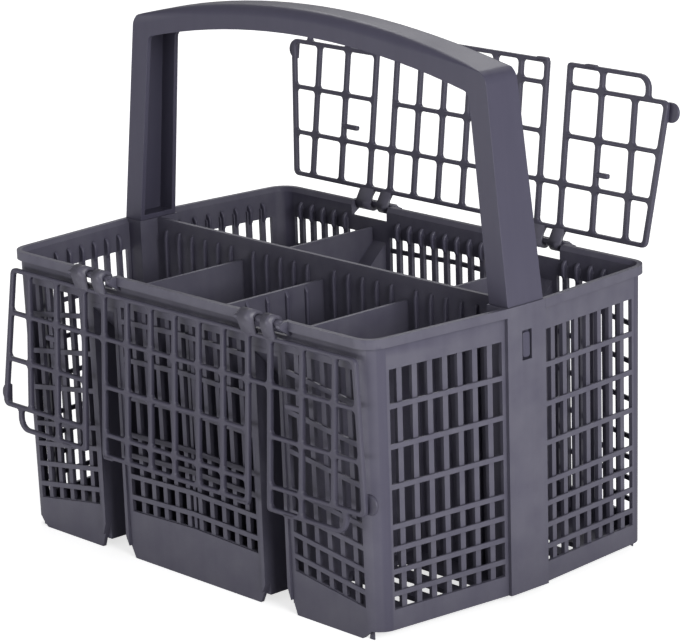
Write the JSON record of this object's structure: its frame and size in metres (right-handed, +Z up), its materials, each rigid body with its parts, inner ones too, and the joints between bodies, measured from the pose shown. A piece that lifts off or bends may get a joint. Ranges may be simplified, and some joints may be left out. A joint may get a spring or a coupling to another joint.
{
  "type": "dishwasher cutlery basket",
  "caption": "Oblong lattice basket for cutlery in a dishwasher, with inner dividers, an arched clip-in carrying handle and two hinged grid lids.",
  "frame": {"origin": "middle of the basket, on the surface that it stands on", "axes": "+X along the basket, -Y to the front side, +Z up"},
  "size_m": [0.2522, 0.1877, 0.2408],
  "materials": {
    "basket_body": "satin moulded polypropylene",
    "carry_handle": "satin moulded polypropylene",
    "front_lid": "satin moulded polypropylene",
    "rear_lid": "satin moulded polypropylene"
  },
  "bodies": {
    "basket": {"basket_body": "basket_body", "carry_handle": "carry_handle"},
    "front_lid": {"front_lid": "front_lid"},
    "rear_lid": {"rear_lid": "rear_lid"}
  },
  "joints": [
    {"name": "front_lid_hinge", "type": "hinge", "parent": "basket", "child": "front_lid", "pos_m": [0, -0.0852, 0.1289], "axis": [1, 0, 0], "range_deg": [-266.8, 1.5]},
    {"name": "rear_lid_hinge", "type": "hinge", "parent": "basket", "child": "rear_lid", "pos_m": [0, 0.0852, 0.1289], "axis": [1, 0, 0], "range_deg": [-169.7, 97.1]}
  ]
}
